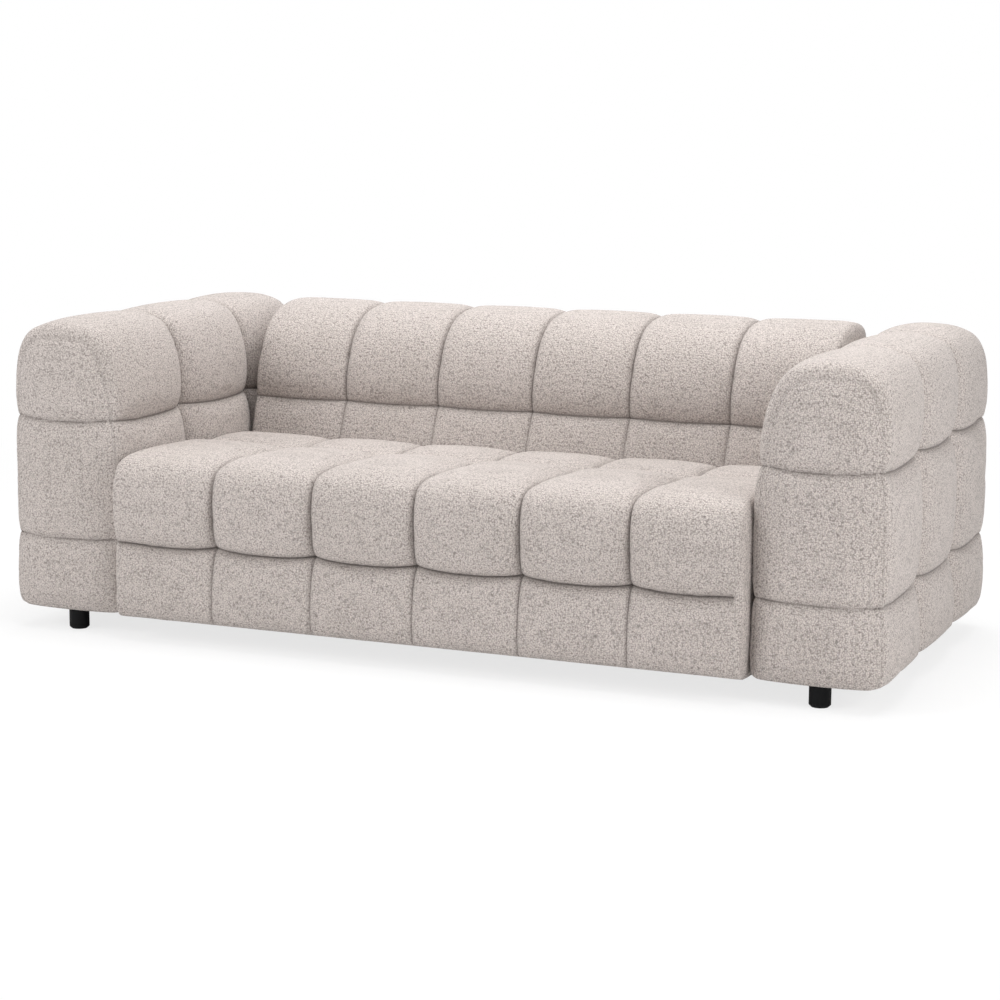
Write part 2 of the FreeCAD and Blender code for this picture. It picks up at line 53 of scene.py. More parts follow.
def edgeDip(distance, reach):
    # 1 on a sewn edge, falling to 0 on a flat arc of the given reach
    return (1 - np.clip(np.abs(distance) / reach, 0, 1)) ** 2


def rolledDip(distance, radius):
    # the depth of a quarter round that starts square to the face
    away = 1 - np.clip(distance / np.maximum(radius, 1e-6), 0, 1)
    return radius * (1 - np.sqrt(1 - away**2))


def crease(distance, width):
    # 1 on a line, with a bell-shaped fall to both sides
    return np.exp(-((distance / width) ** 2))


def spreadLines(start, end, count, denseStart=True, denseEnd=True, crowd=0.62):
    # positions from start to end, closer together at the ends that are seams
    t = np.linspace(0, 1, count + 1)
    if denseStart and denseEnd:
        share = t - crowd / (2 * math.pi) * np.sin(2 * math.pi * t)
    elif denseStart:
        share = t - crowd / math.pi * np.sin(math.pi * t)
    elif denseEnd:
        share = t + crowd / math.pi * np.sin(math.pi * t)
    else:
        share = t
    return start + (end - start) * share


class Outline:
    # closed smooth curve through points, each with further values that are carried along it

    def __init__(self, points, steps=16):
        data = np.array(points, float)
        before, after = np.roll(data, 1, axis=0), np.roll(data, -1, axis=0)
        afterNext = np.roll(data, -2, axis=0)
        rows = []
        for i in range(len(data)):
            p0, p1, p2, p3 = before[i, :2], data[i, :2], after[i, :2], afterNext[i, :2]
            k0, k1, k2 = (self.spacing(a, b) for a, b in ((p0, p1), (p1, p2), (p2, p3)))
            m1 = (p1 - p0) / k0 - (p2 - p0) / (k0 + k1) + (p2 - p1) / k1
            m2 = (p2 - p1) / k1 - (p3 - p1) / (k1 + k2) + (p3 - p2) / k2
            m1, m2 = m1 * k1, m2 * k1
            for t in np.arange(steps) / steps:
                place = (2 * t**3 - 3 * t**2 + 1) * p1 + (t**3 - 2 * t**2 + t) * m1
                place = place + (3 * t**2 - 2 * t**3) * p2 + (t**3 - t**2) * m2
                carried = data[i, 2:] + (after[i, 2:] - data[i, 2:]) * t
                rows.append(np.concatenate([place, carried]))
        rows.append(rows[0])
        self.rows = np.array(rows)
        lengths = np.linalg.norm(np.diff(self.rows[:, :2], axis=0), axis=1)
        self.travel = np.concatenate([[0], np.cumsum(lengths)])
        x, y = self.rows[:, 0], self.rows[:, 1]
        self.turn = -np.sign(np.sum(x[:-1] * y[1:] - x[1:] * y[:-1]))  # 1 where it runs clockwise
        self.at = self.travel[::steps]  # travel at each given point, with the whole length last

    def spacing(self, a, b):
        # the root of the distance keeps the curve from looping where points crowd
        return max(np.linalg.norm(b - a), 1e-6) ** 0.5

    def read(self, s):
        s = np.mod(s, self.travel[-1])
        columns = [np.interp(s, self.travel, column) for column in self.rows.T]
        return np.stack(columns, axis=-1)

    def outward(self, s, nudge=0.004):
        # unit normals that point out of the curve
        along = self.read(s + nudge)[..., :2] - self.read(s - nudge)[..., :2]
        along /= np.linalg.norm(along, axis=-1, keepdims=True)
        return self.turn * np.stack([-along[..., 1], along[..., 0]], axis=-1)


def readValues(items, key, width):
    # one number or one vector of each vertex
    values = np.zeros(len(items) * width)
    items.foreach_get(key, values)
    return values.reshape(-1, width)


def griddedShell(counts):
    # closed box of square faces whose vertices lie at whole numbers of steps
    shell = bmesh.new()
    for axis in range(3):
        u, v = (axis + 1) % 3, (axis + 2) % 3
        for level in (0, counts[axis]):
            place = Matrix.Identity(4)
            for i in range(3):
                place[i][0], place[i][1], place[i][2] = 0, 0, 0
            place[u][0], place[v][1], place[axis][2] = counts[u], counts[v], 1
            place[u][3], place[v][3], place[axis][3] = counts[u] / 2, counts[v] / 2, level
            bmesh.ops.create_grid(
                shell, x_segments=counts[u], y_segments=counts[v], size=0.5, matrix=place
            )
    bmesh.ops.remove_doubles(shell, verts=shell.verts, dist=0.01)
    bmesh.ops.recalc_face_normals(shell, faces=shell.faces)
    return shell


sewing = {
    "stitchDepth": 0.0010,  # groove of the seam round each end
    "stitchWidth": 0.005,
    "tuckWidth": 0.04,  # how far along a row seam the pull of a column seam reaches
    "rowWidth": 0.05,  # how far to both sides of a row seam its tucks and its sag reach
    "swellReach": 0.14,
    "calmShare": 0.5,  # by which row seams are shallower at an end
    "calmReach": 0.06,
    "sagStart": 0.1,  # distance from an end from which pillows sag in full
    "rowFade": 0.006,  # length over which a row seam runs out where it stops
    "panelFade": 0.012,
    "seamEndFade": 0.004,
    "fullDip": 0.028,  # depth of a column seam from which its pillows have their whole crown
    "leastDip": 0.001,  # a shallower column seam isn't sewn
    "lowSeamOffset": 0.0011,  # narrows the painted crease shade of a column seam on the plinth
    "highSeamOffset": 0.0004,
    "farthest": 0.2,  # greatest distance that is written to the vertices
}


def pillowShare(block, along):
    # -1 to 1 between the seams of a pillow, and 0 towards a free end
    edges = np.array([block["from"], *block["columnSeams"], block["to"]])
    last = len(edges) - 2
    cell = np.clip(np.searchsorted(edges, along, side="right") - 1, 0, last)
    share = 2 * (along - edges[cell]) / (edges[cell + 1] - edges[cell]) - 1
    share = np.where(cell == 0, np.maximum(share, 0), share)
    return np.where(cell == last, np.minimum(share, 0), share)


def wallSurface(block, outline, s, along):
    # places across the section, and the distances to the nearest seam and to the nearer end
    values = outline.read(s)
    columnDepth, columnReach, endDepth, endReach, roll = (values[..., i] for i in range(2, 7))
    toEnd = np.minimum(along - block["from"], block["to"] - along)
    across = pillowShare(block, along)
    dip = np.zeros_like(along)
    tuck = np.zeros_like(along)
    nearest = np.full_like(along, farAway)
    # the offsets make the painted crease shade of the column seams fainter below faintBelow
    seamOffset = np.where(values[..., 1] < block["faintBelow"], sewing["lowSeamOffset"], sewing["highSeamOffset"])
    seamOffset = np.where(columnDepth > sewing["leastDip"], seamOffset, farAway)
    for seam in block["columnSeams"]:
        dip = dip + columnDepth * pillowDip(along - seam, columnReach)
        nearest = np.minimum(nearest, np.abs(along - seam) + seamOffset)
        tuck = tuck + crease(along - seam, sewing["tuckWidth"])
    dip = dip + rolledDip(toEnd, roll)
    dip = dip + endDepth * edgeDip(toEnd, endReach)
    dip = dip + np.minimum(endDepth, sewing["stitchDepth"]) * crease(toEnd, sewing["stitchWidth"])
    kept = np.ones_like(along)
    if block["rowsStop"]:
        kept = np.clip((block["to"] - along - block["rowsStop"]) / sewing["rowFade"], 0, 1)
    calm = 1 - sewing["calmShare"] * edgeDip(toEnd, sewing["calmReach"])
    hang = (1 - across**2) * np.clip(toEnd / sewing["sagStart"], 0, 1)
    sag = np.zeros(dip.shape + (2,))
    for row in block["rowSeams"]:
        away = np.abs(s - outline.at[row["at"]])
        away = np.minimum(away, outline.travel[-1] - away)
        dip = dip + row["depth"] * kept * calm * pillowDip(away, row["reach"])
        dip = dip + row["swell"] * calm * edgeDip(away, sewing["swellReach"])
        dip = dip + row["tuck"] * tuck * crease(away, sewing["rowWidth"])
        nearest = np.minimum(nearest, away + (1 - kept))
        shift = hang * crease(away, sewing["rowWidth"])
        sag = sag + shift[..., None] * np.array(row["sag"])
    full = np.clip(columnDepth / sewing["fullDip"], 0, 1)
    dip = dip + block["crown"] * full * across**2
    flat = values[..., :2] - outline.outward(s) * dip[..., None] + sag
    return flat, nearest, toEnd


def panelSurface(panel, outline, ring, counts, steps):
    # a sheet stretched over one end between the four sides of the wall, raised to a crown
    wide, tall = counts
    wideStep, tallStep = steps
    r, t = (wideStep / wide)[:, None], (tallStep / tall)[:, None]
    left, right = ring[tallStep], ring[2 * tall + wide - tallStep]
    low, high = ring[2 * tall + 2 * wide - wideStep], ring[tall + wideStep]
    corners = ring[0], ring[tall], ring[tall + wide], ring[2 * tall + wide]
    spot = (1 - t) * low + t * high + (1 - r) * left + r * right
    spot -= (1 - r) * (1 - t) * corners[0] + (1 - r) * t * corners[1]
    spot -= r * t * corners[2] + r * (1 - t) * corners[3]
    rise = np.ones(len(spot))
    toEdge = np.full(len(spot), farAway)
    for side, reach in zip((left, right, low, high), panel["reaches"]):
        distance = np.linalg.norm(spot - side, axis=1)
        rise = rise * (1 - edgeDip(distance, reach))
        toEdge = np.minimum(toEdge, distance)
    groove = np.minimum(panel["rise"], sewing["stitchDepth"])
    rise = rise * panel["rise"] - groove * crease(toEdge, sewing["stitchWidth"])
    nearest = np.full(len(spot), farAway)
    shift = np.zeros(len(spot))
    for row in panel["rowSeams"]:
        away = spot[:, 1] - outline.read(outline.at[row["at"]])[1]
        fade = np.clip(toEdge / sewing["panelFade"], 0, 1)
        rise = rise - row["depth"] * pillowDip(away, row["reach"]) * fade
        # the painted crease shade of a panel row seam runs out towards the panel edge
        seamEndOffset = 1 - np.clip(toEdge / sewing["seamEndFade"], 0, 1)
        nearest = np.minimum(nearest, np.abs(away) + seamEndOffset)
        shift = shift - row["sag"] * (1 - (2 * r[:, 0] - 1) ** 2) * crease(away, sewing["rowWidth"])
    spot[:, 1] += shift
    return spot, rise, nearest, toEdge


def paddedBlock(name, block):
    # an upholstered block: its outline is drawn across its length, and seams dip between its pillows
    outline = Outline(block["outline"])
    runs = []
    for run in block["runs"]:
        pieces = [spreadLines(outline.at[a], outline.at[b], *rest)[:-1] for a, b, *rest in run]
        runs.append(np.concatenate(pieces))
    tall, wide = len(runs[0]), len(runs[1])
    loop = np.concatenate(runs)
    stations = [block["from"], *block["columnSeams"], block["to"]]
    columns = zip(stations, stations[1:], block["columnSteps"])
    lengthLines = [spreadLines(a, b, count)[:-1] for a, b, count in columns]
    lengthLines = np.concatenate([*lengthLines, [block["to"]]])
    last = len(lengthLines) - 1
    shell = griddedShell((last, wide, tall))
    mesh = bpy.data.meshes.new(name)
    shell.to_mesh(mesh)
    shell.free()

    # each vertex has whole steps along, across and up, and those on the wall a step round the loop
    steps = np.rint(readValues(mesh.vertices, "co", 3)).astype(int)
    lengthStep, wideStep, tallStep = steps.T
    loopStep = np.where(wideStep == 0, tallStep, 0)
    loopStep = np.where(tallStep == tall, tall + wideStep, loopStep)
    rear = (wideStep == wide) & (tallStep < tall)
    loopStep = np.where(rear, 2 * tall + wide - tallStep, loopStep)
    under = (tallStep == 0) & (wideStep > 0) & (wideStep < wide)
    loopStep = np.where(under, 2 * tall + 2 * wide - wideStep, loopStep)
    onWall = (wideStep == 0) | (wideStep == wide) | (tallStep == 0) | (tallStep == tall)

    along = lengthLines[lengthStep]
    flat, nearest, toEnd = wallSurface(block, outline, loop[loopStep], along)
    toEdge = np.abs(toEnd - block["stitchAt"])
    raised = np.zeros(len(along))
    for level, end, sign in ((0, block["from"], -1), (last, block["to"], 1)):
        inner = (lengthStep == level) & ~onWall
        ring = wallSurface(block, outline, loop, np.full(len(loop), end))[0]
        inside = wideStep[inner], tallStep[inner]
        spot, rise, toSeam, toSide = panelSurface(block["panel"], outline, ring, (wide, tall), inside)
        flat[inner] = spot
        raised[inner] = sign * rise
        nearest[inner] = toSeam
        toEdge[inner] = toSide
    along = along + raised

    if block["lengthAxis"] == "Y":
        final = np.stack([flat[:, 0], along + frontSeam, flat[:, 1]], axis=1)
    else:
        final = np.stack([along, flat[:, 0] + frontSeam, flat[:, 1]], axis=1)
    mesh.vertices.foreach_set("co", final.ravel())
    for attribute, value in (("seamDistance", nearest), ("edgeDistance", toEdge)):
        layer = mesh.attributes.new(attribute, "FLOAT", "POINT")
        layer.data.foreach_set("value", np.minimum(value, sewing["farthest"]))
    piece = bpy.data.objects.new(name, mesh)
    bpy.context.scene.collection.objects.link(piece)
    facing = bmesh.new()
    facing.from_mesh(mesh)
    bmesh.ops.recalc_face_normals(facing, faces=facing.faces)
    facing.to_mesh(mesh)
    facing.free()
    mesh.polygons.foreach_set("use_smooth", [True] * len(mesh.polygons))
    print("built", name, len(mesh.vertices), "vertices")
    return piece


pillows = {
    "quality": 4,
    "frames": 10,
    "mass": 0.4,
    "damping": 2.0,
    "stiffness": 30.0,
    "bending": 2.0,
    "pressure": 1.2,
    "spareCloth": 0.004,
    "heldNear": 0.0005,  # the cloth is held this near to a seam or an end
    "heldBelow": 0.0585,  # and below this height, on the flat underside
    "mostShift": 0.006,
}


def puffed(piece):
    # cloth under a little pressure, held on its seams, so that the covers gather and swell by themselves
    mesh = piece.data
    scene = bpy.context.scene
    start = readValues(mesh.vertices, "co", 3)
    toSeam = readValues(mesh.attributes["seamDistance"].data, "value", 1)[:, 0]
    toEdge = readValues(mesh.attributes["edgeDistance"].data, "value", 1)[:, 0]
    low = start[:, 2] < pillows["heldBelow"]
    pinned = np.nonzero((toSeam < pillows["heldNear"]) | (toEdge < pillows["heldNear"]) | low)[0]
    held = piece.vertex_groups.new(name="held")
    held.add([int(i) for i in pinned], 1.0, "REPLACE")
    cloth = piece.modifiers.new("cloth", "CLOTH")
    settings = cloth.settings
    settings.quality = pillows["quality"]
    settings.mass = pillows["mass"]
    settings.tension_stiffness = pillows["stiffness"]
    settings.compression_stiffness = pillows["stiffness"]
    settings.shear_stiffness = pillows["stiffness"] / 2
    settings.bending_stiffness = pillows["bending"]
    settings.air_damping = pillows["damping"]
    settings.use_pressure = True
    settings.uniform_pressure_force = pillows["pressure"]
    settings.shrink_min = -pillows["spareCloth"]
    settings.vertex_group_mass = "held"
    settings.effector_weights.gravity = 0
    cloth.collision_settings.use_collision = False
    cloth.point_cache.frame_start = 1
    cloth.point_cache.frame_end = pillows["frames"]
    for step in range(1, pillows["frames"] + 1):
        scene.frame_set(step)
    evaluated = piece.evaluated_get(bpy.context.evaluated_depsgraph_get())
    shift = readValues(evaluated.data.vertices, "co", 3) - start
    size = np.maximum(np.linalg.norm(shift, axis=1, keepdims=True), 1e-9)
    shift *= pillows["mostShift"] * np.tanh(size / pillows["mostShift"]) / size
    kept = np.linalg.norm(shift, axis=1)
    moved = [round(float(v) * 1000, 1) for v in (size.max(), size.mean(), kept.mean())]
    print("cloth on", piece.name, "moved", *moved)
    piece.modifiers.remove(cloth)
    piece.vertex_groups.remove(held)
    scene.frame_set(1)
    mesh.vertices.foreach_set("co", (start + shift).ravel())
    mesh.update()


class Value:
    # a shader socket that takes + - * / and other numbers or sockets

    def __init__(self, sheet, socket):
        self.sheet, self.socket = sheet, socket

    def math(self, operation, *others, clamp=False):
        settings = {"operation": operation, "use_clamp": clamp}
        return self.sheet.node("ShaderNodeMath", settings, [self, *others])

    def held(self):
        # kept between 0 and 1
        return self.math("MAXIMUM", 0.0, clamp=True)

    def __add__(self, other):
        return self.math("ADD", other)

    __radd__ = __add__

    def __mul__(self, other):
        return self.math("MULTIPLY", other)

    __rmul__ = __mul__

    def __sub__(self, other):
        return self.math("SUBTRACT", other)

    def __rsub__(self, other):
        return self.sheet.node("ShaderNodeMath", {"operation": "SUBTRACT"}, [other, self])

    def __truediv__(self, other):
        return self.math("DIVIDE", other)


class Sheet:
    # the node tree of one material or of the world

    def __init__(self, owner, outputKind="ShaderNodeOutputMaterial"):
        owner.use_nodes = True
        self.owner, self.tree = owner, owner.node_tree
        self.tree.nodes.clear()
        self.output = self.tree.nodes.new(outputKind)

    def node(self, kind, settings=None, inputs=None, output=0):
        made = self.tree.nodes.new(kind)
        for key, value in (settings or {}).items():
            setattr(made, key, value)
        pairs = inputs.items() if isinstance(inputs, dict) else enumerate(inputs or [])
        for key, value in pairs:
            if isinstance(value, Value):
                self.tree.links.new(value.socket, made.inputs[key])
            else:
                made.inputs[key].default_value = value
        return Value(self, made.outputs[output])

    def place(self):
        return self.node("ShaderNodeTexCoord", output="Object")

    def attribute(self, name):
        return self.node("ShaderNodeAttribute", {"attribute_name": name}, output="Fac")

    def mix(self, share, first, second, blend="MIX"):
        settings = {"data_type": "RGBA", "blend_type": blend}
        return self.node("ShaderNodeMix", settings, {0: share, 6: first, 7: second}, output=2)

    def surface(self, shader):
        self.tree.links.new(shader.socket, self.output.inputs["Surface"])
        return self.owner

    def finish(self, inputs):
        return self.surface(self.node("ShaderNodeBsdfPrincipled", {}, inputs))

    def noise(self, place, scale, detail=3.0, roughness=0.55):
        inputs = {"Vector": place, "Scale": scale, "Detail": detail, "Roughness": roughness}
        return self.node("ShaderNodeTexNoise", {}, inputs, output="Fac")

    def stretched(self, place, factors):
        return self.node("ShaderNodeVectorMath", {"operation": "MULTIPLY"}, [place, factors])

    def bump(self, height, distance, strength):
        inputs = {"Strength": strength, "Distance": distance, "Height": height}
        return self.node("ShaderNodeBump", {}, inputs, output="Normal")


boucle = {
    "yarn": (0.69, 0.62, 0.583, 1),
    "shade": (0.24, 0.21, 0.194, 1),  # painted shade between the nubs
    # painted shade colour, for the seam valleys and the dark crease line along each seam
    "seam": (0.17, 0.148, 0.135, 1),
    "nubsPerMetre": 260.0,
    "nubHeight": 0.0030,
    "softness": 0.45,  # of a nub's outline
    "scatter": 0.65,  # 0 sets the nubs in rows
    "curlsPerMetre": 110.0,
    "curl": 0.007,
    "fibresPerMetre": 800.0,
    "gapStart": 0.2,  # share of a nub's radius at which it turns dark
    "gapShade": 1.6,
    "fibreShade": 0.4,
    "patchesPerMetre": 4.0,
    "patchShade": 0.14,
    # painted shade in the seam valleys: the fabric darkens towards each seam over this width
    "valleyShadeWidth": 0.016,
    "valleyShadeShare": 0.36,
    # a thin line of painted shade along each seam and each sewn edge, where the creases are shaded
    "creaseShadeWidth": 0.0028,
    "seamCreaseShade": 0.75,
    "edgeCreaseShade": 0.20,
}


def boucleMaterial():
    # short looped yarn: rounded nubs with painted shade in the gaps between them, fine fibres, and a line of
    # painted shade along each seam and sewn edge
    sheet = Sheet(bpy.data.materials.new("boucle"))
    place = sheet.place()
    curlInputs = {"Vector": place, "Scale": boucle["curlsPerMetre"], "Detail": 2.0}
    drift = sheet.node("ShaderNodeTexNoise", {}, curlInputs, output="Color")
    centred = sheet.node("ShaderNodeVectorMath", {"operation": "SUBTRACT"}, [drift, (0.5, 0.5, 0.5)])
    bent = sheet.node("ShaderNodeVectorMath", {"operation": "SCALE"}, {0: centred, "Scale": boucle["curl"]})
    curled = sheet.node("ShaderNodeVectorMath", {"operation": "ADD"}, [place, bent])
    nubInputs = {
        "Vector": curled,
        "Scale": boucle["nubsPerMetre"],
        "Smoothness": boucle["softness"],
        "Randomness": boucle["scatter"],
    }
    nubs = sheet.node("ShaderNodeTexVoronoi", {"feature": "SMOOTH_F1"}, nubInputs, output="Distance")
    fibres = sheet.noise(curled, boucle["fibresPerMetre"], roughness=0.6)
    tufts = sheet.noise(place, 60.0, detail=2.0)
    patches = sheet.noise(place, boucle["patchesPerMetre"])
    height = (1 - nubs) * 0.8 + fibres * 0.3 + tufts * 0.35
    # painted shade in the gaps between the nubs, varied by the fine fibres
    nubGapShade = ((nubs - boucle["gapStart"]) * boucle["gapShade"] + (fibres - 0.5) * boucle["fibreShade"]).held()
    colour = sheet.mix(nubGapShade, boucle["yarn"], boucle["shade"])
    wide = (patches - 0.5) * boucle["patchShade"]
    warmth = sheet.node("ShaderNodeCombineColor", {}, [wide + 1.0, wide + 1.0, wide * 1.15 + 1.0])
    colour = sheet.mix(1.0, colour, warmth, "MULTIPLY")
    # painted shade that deepens towards each seam, where the valleys lie in shade
    valleyShade = (1 - sheet.attribute("seamDistance") / boucle["valleyShadeWidth"]).held()
    colour = sheet.mix(valleyShade * valleyShade * boucle["valleyShadeShare"], colour, boucle["seam"])
    # painted shade: a thin dark line along each seam and sewn edge, standing in for the shaded crease
    for attribute, share in (("seamDistance", boucle["seamCreaseShade"]), ("edgeDistance", boucle["edgeCreaseShade"])):
        line = (1 - sheet.attribute(attribute) / boucle["creaseShadeWidth"]).held()
        colour = sheet.mix(line * share, colour, boucle["seam"])
    return sheet.finish({
        "Base Color": colour,
        "Roughness": 0.92,
        "Sheen Weight": 0.12,
        "Sheen Roughness": 0.5,
        "Specular IOR Level": 0.2,
        "Normal": sheet.bump(height, boucle["nubHeight"], 0.8),
    })


# An outline point gives width or depth, height, the dip and the reach of the column seams there, the dip and
# the reach of the drawn ends, and the radius of the ends' roll. A run is one side of the section: front or
# outside, top, rear or inside, underside. Each part of it gives its first and last outline point, its steps,
# and whether the steps crowd towards either. Row seams lie at an outline point.
armBlock = {
    "lengthAxis": "Y",
    "from": 0.0,
    "to": 1.0,
    "columnSeams": (0.362, 0.712),
    "columnSteps": (50, 48, 42),
    "crown": 0.012,
    "faintBelow": 0.24,
    "stitchAt": 0.0,
    "rowsStop": 0.0,
    "outline": [
        (1.1114, 0.0646, 0.012, 0.040, 0.006, 0.060, 0.008),
        (1.1190, 0.090, 0.022, 0.050, 0.006, 0.120, 0.008),
        (1.1190, 0.242, 0.031, 0.062, 0.004, 0.140, 0.009),
        (1.1190, 0.400, 0.037, 0.068, 0.007, 0.150, 0.010),
        (1.1180, 0.538, 0.036, 0.066, 0.004, 0.150, 0.011),
        (1.1160, 0.640, 0.036, 0.066, 0.008, 0.150, 0.016),
        (1.1060, 0.708, 0.029, 0.060, 0.008, 0.150, 0.025),
        (1.0830, 0.749, 0.018, 0.050, 0.011, 0.150, 0.028),
        (1.0400, 0.7705, 0.013, 0.045, 0.012, 0.150, 0.030),
        (0.9850, 0.7775, 0.012, 0.045, 0.012, 0.150, 0.031),
        (0.9300, 0.775, 0.014, 0.045, 0.012, 0.150, 0.031),
        (0.8800, 0.759, 0.021, 0.055, 0.012, 0.150, 0.030),
        (0.8480, 0.727, 0.029, 0.065, 0.012, 0.140, 0.029),
        (0.8260, 0.680, 0.035, 0.075, 0.013, 0.130, 0.028),
        (0.8120, 0.620, 0.037, 0.080, 0.011, 0.120, 0.025),
        (0.8060, 0.538, 0.034, 0.075, 0.005, 0.100, 0.017),
        (0.8045, 0.400, 0.030, 0.065, 0.004, 0.060, 0.012),
        (0.8045, 0.242, 0.026, 0.055, 0.004, 0.060, 0.010),
        (0.8045, 0.080, 0.018, 0.050, 0.006, 0.050, 0.008),
        (0.8090, 0.0620, 0.008, 0.040, 0.006, 0.050, 0.006),
        (0.8270, 0.0575, 0.0, 0.045, 0.0, 0.045, 0.0),
        (1.0850, 0.0575, 0.0, 0.045, 0.0, 0.045, 0.0),
    ],
    "runs": [
        [(0, 2, 20, False, True), (2, 4, 32, True, True), (4, 7, 24, True, False)],
        [(7, 12, 34, False, False)],
        [(12, 15, 24, False, True), (15, 17, 32, True, True), (17, 19, 20, True, False)],
        [(19, 22, 34, False, False)],
    ],
    "rowSeams": [
        {"at": 2, "depth": 0.011, "reach": 0.045, "swell": 0.009, "tuck": 0.006, "sag": (0, -0.007)},
        {"at": 4, "depth": 0.014, "reach": 0.050, "swell": 0.011, "tuck": 0.007, "sag": (0, -0.009)},
        {"at": 15, "depth": 0.013, "reach": 0.045, "swell": 0.008, "tuck": 0.006, "sag": (0, -0.008)},
        {"at": 17, "depth": 0.009, "reach": 0.045, "swell": 0.005, "tuck": 0.004, "sag": (0, -0.005)},
    ],
    "panel": {
        "rise": 0.017,
        "reaches": (0.070, 0.070, 0.040, 0.110),
        "rowSeams": [
            {"at": 2, "depth": 0.010, "reach": 0.030, "sag": 0.006},
            {"at": 4, "depth": 0.012, "reach": 0.034, "sag": 0.009},
        ],
    },
}
plainPanel = {"rise": 0.0, "reaches": (0.02, 0.02, 0.02, 0.02), "rowSeams": []}
seatBlock = {
    "lengthAxis": "X",
    "from": -0.799,
    "to": 0.799,
    "columnSeams": columnSeams,
    "columnSteps": (32,) * 6,
    "crown": 0.010,
    "faintBelow": 0.24,
    "stitchAt": 0.012,
    "rowsStop": 0.012,
    "outline": [
        (-0.0400, 0.0640, 0.003, 0.025, 0.002, 0.014, 0.003),
        (-0.0480, 0.084, 0.006, 0.032, 0.002, 0.014, 0.003),
        (-0.0490, 0.170, 0.008, 0.035, 0.002, 0.014, 0.003),
        (-0.0510, 0.245, 0.016, 0.045, 0.002, 0.014, 0.004),
        (-0.0585, 0.320, 0.021, 0.052, 0.002, 0.018, 0.005),
        (-0.0575, 0.375, 0.021, 0.055, 0.002, 0.022, 0.007),
        (-0.0480, 0.415, 0.020, 0.055, 0.002, 0.030, 0.009),
        (-0.0290, 0.441, 0.018, 0.054, 0.002, 0.036, 0.010),
        (0.0050, 0.4550, 0.016, 0.054, 0.004, 0.044, 0.010),
        (0.0600, 0.4610, 0.015, 0.054, 0.004, 0.046, 0.010),
        (0.2000, 0.4580, 0.014, 0.052, 0.004, 0.046, 0.010),
        (0.4050, 0.4480, 0.013, 0.050, 0.003, 0.046, 0.010),
        (0.5200, 0.4420, 0.013, 0.050, 0.002, 0.040, 0.010),
        (0.6000, 0.4360, 0.011, 0.048, 0.002, 0.040, 0.010),
        (0.6300, 0.4230, 0.006, 0.040, 0.002, 0.030, 0.006),
        (0.6330, 0.390, 0.002, 0.040, 0.002, 0.030, 0.003),
        (0.6330, 0.251, 0.002, 0.040, 0.002, 0.030, 0.003),
        (0.6330, 0.090, 0.002, 0.040, 0.002, 0.030, 0.003),
        (0.6270, 0.0635, 0.002, 0.040, 0.002, 0.030, 0.003),
        (0.6000, 0.0575, 0.0, 0.040, 0.0, 0.030, 0.000),
        (-0.0220, 0.0575, 0.0, 0.040, 0.0, 0.030, 0.000),
    ],
    "runs": [
        [(0, 3, 20, False, True), (3, 7, 24, True, False)],
        [(7, 11, 42, False, True), (11, 14, 24, True, False)],
        [(14, 18, 44, False, False)],
        [(18, 21, 66, False, False)],
    ],
    "rowSeams": [
        {"at": 3, "depth": 0.022, "reach": 0.036, "swell": 0.006, "tuck": 0.003, "sag": (0, -0.008)},
        {"at": 11, "depth": 0.014, "reach": 0.060, "swell": 0.012, "tuck": 0.005, "sag": (0.006, 0)},
    ],
    "panel": plainPanel,
}
